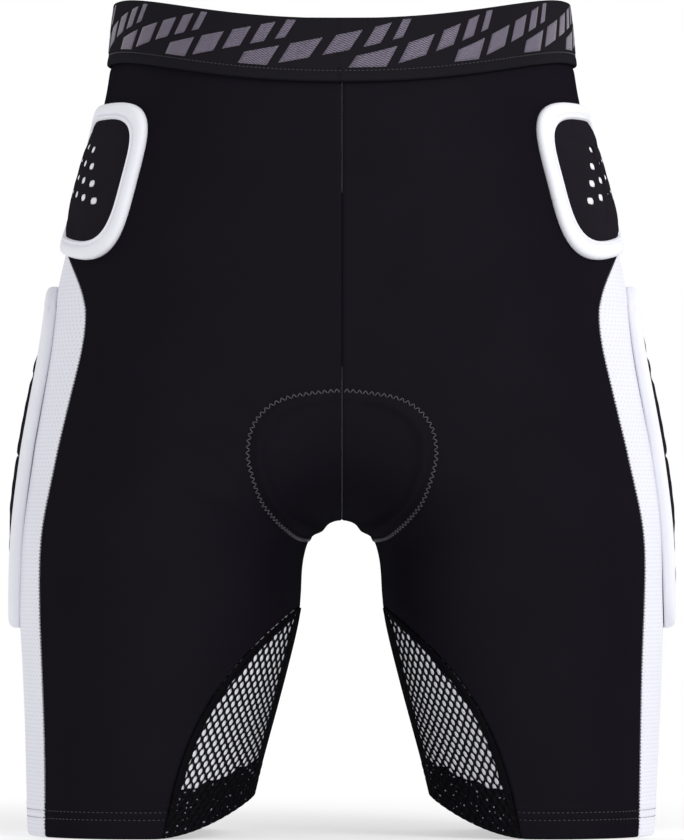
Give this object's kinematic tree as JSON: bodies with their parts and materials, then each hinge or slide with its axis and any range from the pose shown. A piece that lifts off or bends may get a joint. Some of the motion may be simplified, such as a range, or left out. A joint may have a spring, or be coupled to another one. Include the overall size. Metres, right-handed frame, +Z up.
{
  "type": "padded impact shorts",
  "caption": "Close-fitting stretch shorts with sewn-on foam pads at hips, thighs and tailbone, a seat pad and mesh inner thighs.",
  "frame": {"origin": "midway between the two leg hems, on the level they end at, under the middle of the whole object's depth", "axes": "+Z up to the waistband, -Y towards the wearer's front, +X towards the wearer's left"},
  "size_m": [0.4208, 0.2504, 0.5201],
  "materials": {
    "black_stretch_fabric": "matte knit with a faint sheen",
    "white_stretch_fabric": "matte fine knit",
    "black_mesh": "open warp-knit mesh",
    "waistband_elastic": "woven jacquard elastic with grey slanted marks",
    "hem_elastic": "ribbed elastic",
    "seat_lining": "brushed knit",
    "white_pad_rim": "soft moulded, satin",
    "black_pad_cover": "soft moulded over foam, matte",
    "white_foam": "closed-cell foam"
  },
  "bodies": {
    "hips": {"front_panel_left": "black_stretch_fabric", "back_panel_left": "black_stretch_fabric", "groin_fold_left": "black_stretch_fabric", "seat_fold_left": "black_stretch_fabric", "hip_pad_rim_left": "white_pad_rim", "hip_pad_cover_left": "black_pad_cover", "hip_pad_foam_left": "white_foam", "front_panel_right": "black_stretch_fabric", "back_panel_right": "black_stretch_fabric", "groin_fold_right": "black_stretch_fabric", "seat_fold_right": "black_stretch_fabric", "hip_pad_rim_right": "white_pad_rim", "hip_pad_cover_right": "black_pad_cover", "hip_pad_foam_right": "white_foam", "waistband": "waistband_elastic", "tailbone_pad_rim": "white_pad_rim", "tailbone_pad_cover": "black_pad_cover", "tailbone_pad_foam": "white_foam", "seat_pad_foam": "white_foam", "seat_pad_cover": "seat_lining"},
    "left_leg": {"thigh_front_left": "black_stretch_fabric", "thigh_back_left": "black_stretch_fabric", "side_panel_left": "white_stretch_fabric", "mesh_gusset_left": "black_mesh", "hem_elastic_left": "hem_elastic", "hem_facing_left": "black_stretch_fabric", "thigh_pad_rim_left": "white_pad_rim", "thigh_pad_cover_left": "black_pad_cover", "thigh_pad_foam_left": "white_foam"},
    "right_leg": {"thigh_front_right": "black_stretch_fabric", "thigh_back_right": "black_stretch_fabric", "side_panel_right": "white_stretch_fabric", "mesh_gusset_right": "black_mesh", "hem_elastic_right": "hem_elastic", "hem_facing_right": "black_stretch_fabric", "thigh_pad_rim_right": "white_pad_rim", "thigh_pad_cover_right": "black_pad_cover", "thigh_pad_foam_right": "white_foam"}
  },
  "joints": [
    {"name": "left_leg_swing", "type": "hinge", "parent": "hips", "child": "left_leg", "pos_m": [0, -0.0159, 0.3], "axis": [-1, 0, 0], "range_deg": [-12, 35], "stiffness_Nm_per_rad": 1.5, "deforming": ["groin_fold_left", "seat_fold_left", "seat_pad_foam", "seat_pad_cover"]},
    {"name": "right_leg_swing", "type": "hinge", "parent": "hips", "child": "right_leg", "pos_m": [0, -0.0159, 0.3], "axis": [-1, 0, 0], "range_deg": [-12, 35], "stiffness_Nm_per_rad": 1.5, "deforming": ["groin_fold_right", "seat_fold_right", "seat_pad_foam", "seat_pad_cover"]}
  ]
}
